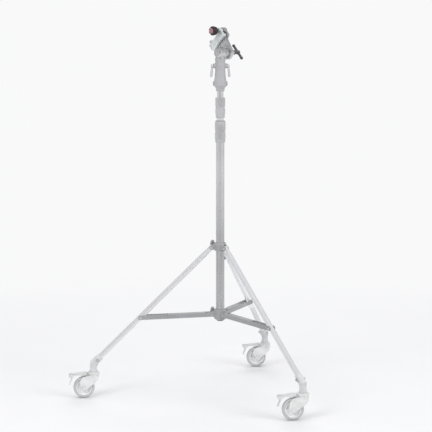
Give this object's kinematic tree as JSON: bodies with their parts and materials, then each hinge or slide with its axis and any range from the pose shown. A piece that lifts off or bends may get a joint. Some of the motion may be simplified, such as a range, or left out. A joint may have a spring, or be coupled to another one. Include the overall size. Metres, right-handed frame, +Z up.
{
  "type": "rolling lighting stand",
  "caption": "Wheeled folding lighting stand with telescoping risers, braked swivel casters, a levelling leg and a tilting tube clamp on its receiver head.",
  "frame": {"origin": "on the floor, on the column axis", "axes": "+Z up along the column; leg A runs along -X, legs B and C at 60 degrees either side of +X; all casters trail towards -X at rest"},
  "size_m": [1.0529, 1.1063, 1.7437],
  "materials": {
    "chromed_tube": "polished",
    "leg_tube": "polished",
    "grey_casting": "satin",
    "grey_brace": "satin",
    "silver_casting": "satin",
    "zinc_steel": "satin",
    "bolt_steel": "satin",
    "tyre_rubber": "matte",
    "wheel_centre": "satin",
    "black_plastic": "satin",
    "red_plastic": "satin",
    "nylon_bush": "matte",
    "dark_lever": "satin"
  },
  "bodies": {
    "column": {"column_tube": "chromed_tube", "column_end_plug": "nylon_bush", "column_guide_bush": "nylon_bush", "lower_lock_collar": "grey_casting", "brace_hub": "grey_casting", "brace_hub_pins": "bolt_steel"},
    "lower_lock_lever": {"lower_lock_lever": "dark_lever"},
    "brace_hub_knob": {"brace_hub_knob": "black_plastic"},
    "leg_hub": {"leg_hub": "grey_casting", "leg_hub_pins": "bolt_steel"},
    "leg_hub_knob": {"leg_hub_knob": "black_plastic"},
    "leg_a": {"leg_a_tube": "leg_tube", "leg_a_foot": "grey_casting", "leg_a_foot_bolt": "bolt_steel", "caster_a_stem": "zinc_steel"},
    "leg_b": {"leg_b_tube": "leg_tube", "leg_b_foot": "grey_casting", "leg_b_foot_bolt": "bolt_steel", "caster_b_stem": "zinc_steel"},
    "leg_c": {"leg_c_sleeve": "leg_tube"},
    "leg_c_inner": {"leg_c_inner_tube": "leg_tube", "leg_c_foot": "grey_casting", "leg_c_foot_bolt": "bolt_steel", "caster_c_stem": "zinc_steel"},
    "leg_c_knob": {"leg_c_knob": "black_plastic"},
    "brace_a": {"brace_a": "grey_brace", "brace_a_rivets": "bolt_steel"},
    "brace_b": {"brace_b": "grey_brace", "brace_b_rivets": "bolt_steel"},
    "brace_c": {"brace_c": "grey_brace", "brace_c_rivets": "bolt_steel"},
    "caster_a_fork": {"caster_a_fork": "zinc_steel", "caster_a_axle": "bolt_steel"},
    "caster_a_wheel": {"caster_a_hub": "wheel_centre", "caster_a_tyre": "tyre_rubber"},
    "caster_a_pedal": {"caster_a_pedal": "zinc_steel"},
    "caster_b_fork": {"caster_b_fork": "zinc_steel", "caster_b_axle": "bolt_steel"},
    "caster_b_wheel": {"caster_b_hub": "wheel_centre", "caster_b_tyre": "tyre_rubber"},
    "caster_b_pedal": {"caster_b_pedal": "zinc_steel"},
    "caster_c_fork": {"caster_c_fork": "zinc_steel", "caster_c_axle": "bolt_steel"},
    "caster_c_wheel": {"caster_c_hub": "wheel_centre", "caster_c_tyre": "tyre_rubber"},
    "caster_c_pedal": {"caster_c_pedal": "zinc_steel"},
    "riser_1": {"riser_1_tube": "chromed_tube", "upper_lock_collar": "grey_casting"},
    "upper_lock_lever": {"upper_lock_lever": "dark_lever"},
    "riser_2": {"riser_2_tube": "chromed_tube", "receiver_head": "grey_casting"},
    "receiver_lever_left": {"receiver_lever_left": "silver_casting"},
    "receiver_lever_right": {"receiver_lever_right": "silver_casting"},
    "clamp_base": {"clamp_base": "silver_casting"},
    "clamp_tilt_handle": {"clamp_tilt_handle": "dark_lever"},
    "clamp_body": {"clamp_body": "silver_casting"},
    "clamp_jaw": {"clamp_jaw": "silver_casting"},
    "clamp_knob": {"clamp_knob": "black_plastic", "clamp_screw": "bolt_steel", "clamp_knob_cap": "red_plastic"}
  },
  "joints": [
    {"name": "base_fold", "type": "slide", "parent": "column", "child": "leg_hub", "axis": [0, 0, -1], "range_m": [-0.47, 0]},
    {"name": "leg_a_fold", "type": "hinge", "parent": "leg_hub", "child": "leg_a", "pos_m": [-0.042, 0, 0.705], "axis": [0, -1, 0], "range_deg": [0, 35.27]},
    {"name": "brace_a_fold", "type": "hinge", "parent": "column", "child": "brace_a", "pos_m": [-0.042, 0, 0.385], "axis": [0, -1, 0], "range_deg": [-76.14, 0]},
    {"name": "leg_b_fold", "type": "hinge", "parent": "leg_hub", "child": "leg_b", "pos_m": [0.021, -0.03637, 0.705], "axis": [0.866, 0.5, 0], "range_deg": [0, 35.27]},
    {"name": "brace_b_fold", "type": "hinge", "parent": "column", "child": "brace_b", "pos_m": [0.021, -0.03637, 0.385], "axis": [0.866, 0.5, 0], "range_deg": [-76.14, 0]},
    {"name": "leg_c_fold", "type": "hinge", "parent": "leg_hub", "child": "leg_c", "pos_m": [0.021, 0.03637, 0.705], "axis": [-0.866, 0.5, 0], "range_deg": [0, 35.27]},
    {"name": "brace_c_fold", "type": "hinge", "parent": "column", "child": "brace_c", "pos_m": [0.021, 0.03637, 0.385], "axis": [-0.866, 0.5, 0], "range_deg": [-76.14, 0]},
    {"name": "leg_c_level", "type": "slide", "parent": "leg_c", "child": "leg_c_inner", "axis": [0.3599, 0.6233, -0.6943], "range_m": [0, 0.195]},
    {"name": "leg_c_knob_turn", "type": "hinge", "parent": "leg_c_inner", "child": "leg_c_knob", "pos_m": [0.05483, 0.09496, 0.63974], "axis": [-0.866, 0.5, 0], "range_deg": [-360, 0]},
    {"name": "leg_hub_knob_turn", "type": "hinge", "parent": "leg_hub", "child": "leg_hub_knob", "pos_m": [-0.0225, 0.03897, 0.71], "axis": [-0.5, 0.866, 0], "range_deg": [-360, 0]},
    {"name": "brace_hub_knob_turn", "type": "hinge", "parent": "column", "child": "brace_hub_knob", "pos_m": [-0.0225, 0.03897, 0.386], "axis": [-0.5, 0.866, 0], "range_deg": [-360, 0]},
    {"name": "caster_a_swivel", "type": "hinge", "parent": "leg_a", "child": "caster_a_fork", "pos_m": [-0.605, 0, 0.11], "axis": [0, 0, 1], "continuous": true},
    {"name": "caster_a_spin", "type": "hinge", "parent": "caster_a_fork", "child": "caster_a_wheel", "pos_m": [-0.65, 0, 0.05], "axis": [0, 1, 0], "continuous": true},
    {"name": "caster_a_brake", "type": "hinge", "parent": "caster_a_fork", "child": "caster_a_pedal", "pos_m": [-0.638, 0, 0.108], "axis": [0, -1, 0], "range_deg": [0, 9]},
    {"name": "caster_b_swivel", "type": "hinge", "parent": "leg_b", "child": "caster_b_fork", "pos_m": [0.3025, -0.52395, 0.11], "axis": [0, 0, 1], "continuous": true},
    {"name": "caster_b_spin", "type": "hinge", "parent": "caster_b_fork", "child": "caster_b_wheel", "pos_m": [0.2575, -0.52395, 0.05], "axis": [0, 1, 0], "continuous": true},
    {"name": "caster_b_brake", "type": "hinge", "parent": "caster_b_fork", "child": "caster_b_pedal", "pos_m": [0.2695, -0.52395, 0.108], "axis": [0, -1, 0], "range_deg": [0, 9]},
    {"name": "caster_c_swivel", "type": "hinge", "parent": "leg_c_inner", "child": "caster_c_fork", "pos_m": [0.3025, 0.52395, 0.11], "axis": [0, 0, -1], "continuous": true},
    {"name": "caster_c_spin", "type": "hinge", "parent": "caster_c_fork", "child": "caster_c_wheel", "pos_m": [0.2575, 0.52395, 0.05], "axis": [0, 1, 0], "continuous": true},
    {"name": "caster_c_brake", "type": "hinge", "parent": "caster_c_fork", "child": "caster_c_pedal", "pos_m": [0.2695, 0.52395, 0.108], "axis": [0, -1, 0], "range_deg": [0, 9]},
    {"name": "riser_1_lift", "type": "slide", "parent": "column", "child": "riser_1", "axis": [0, 0, 1], "range_m": [-0.011, 0.75]},
    {"name": "riser_2_lift", "type": "slide", "parent": "riser_1", "child": "riser_2", "axis": [0, 0, 1], "range_m": [-0.027, 0.78]},
    {"name": "lower_lock_turn", "type": "hinge", "parent": "column", "child": "lower_lock_lever", "pos_m": [-0.00557, -0.03961, 1.278], "axis": [-0.1392, -0.9903, 0], "range_deg": [-90, 90]},
    {"name": "upper_lock_turn", "type": "hinge", "parent": "riser_1", "child": "upper_lock_lever", "pos_m": [-0.00529, -0.03763, 1.389], "axis": [-0.1392, -0.9903, 0], "range_deg": [-90, 90]},
    {"name": "receiver_left_turn", "type": "hinge", "parent": "riser_2", "child": "receiver_lever_left", "pos_m": [-0.038, 0, 1.56], "axis": [1, 0, 0], "range_deg": [-95, 95]},
    {"name": "receiver_right_turn", "type": "hinge", "parent": "riser_2", "child": "receiver_lever_right", "pos_m": [0.038, 0, 1.56], "axis": [1, 0, 0], "range_deg": [-95, 95]},
    {"name": "clamp_pan", "type": "hinge", "parent": "riser_2", "child": "clamp_base", "pos_m": [0, 0, 1.58], "axis": [0, 0, 1], "continuous": true},
    {"name": "clamp_tilt", "type": "hinge", "parent": "clamp_base", "child": "clamp_body", "pos_m": [0, 0, 1.621], "axis": [0.8181, 0.575, 0], "range_deg": [-45, 130]},
    {"name": "clamp_tilt_lock_turn", "type": "hinge", "parent": "clamp_base", "child": "clamp_tilt_handle", "pos_m": [0, 0, 1.621], "axis": [0.8181, 0.575, 0], "range_deg": [-360, 0]},
    {"name": "clamp_jaw_open", "type": "slide", "parent": "clamp_body", "child": "clamp_jaw", "axis": [-0.8181, -0.575, 0], "range_m": [0, 0.012]},
    {"name": "clamp_knob_turn", "type": "hinge", "parent": "clamp_jaw", "child": "clamp_knob", "pos_m": [-0.02518, 0.03582, 1.72168], "axis": [0.8181, 0.575, 0], "range_deg": [-1440.1, 0]}
  ],
  "couplings": [
    {"joint": "leg_a_fold", "follows": "base_fold", "rad_per_m": -1.308},
    {"joint": "brace_a_fold", "follows": "base_fold", "rad_per_m": 2.8255},
    {"joint": "leg_b_fold", "follows": "base_fold", "rad_per_m": -1.308},
    {"joint": "brace_b_fold", "follows": "base_fold", "rad_per_m": 2.8255},
    {"joint": "leg_c_fold", "follows": "base_fold", "rad_per_m": -1.308},
    {"joint": "brace_c_fold", "follows": "base_fold", "rad_per_m": 2.8255},
    {"joint": "clamp_knob_turn", "follows": "clamp_jaw_open", "rad_per_m": -2094.4}
  ]
}
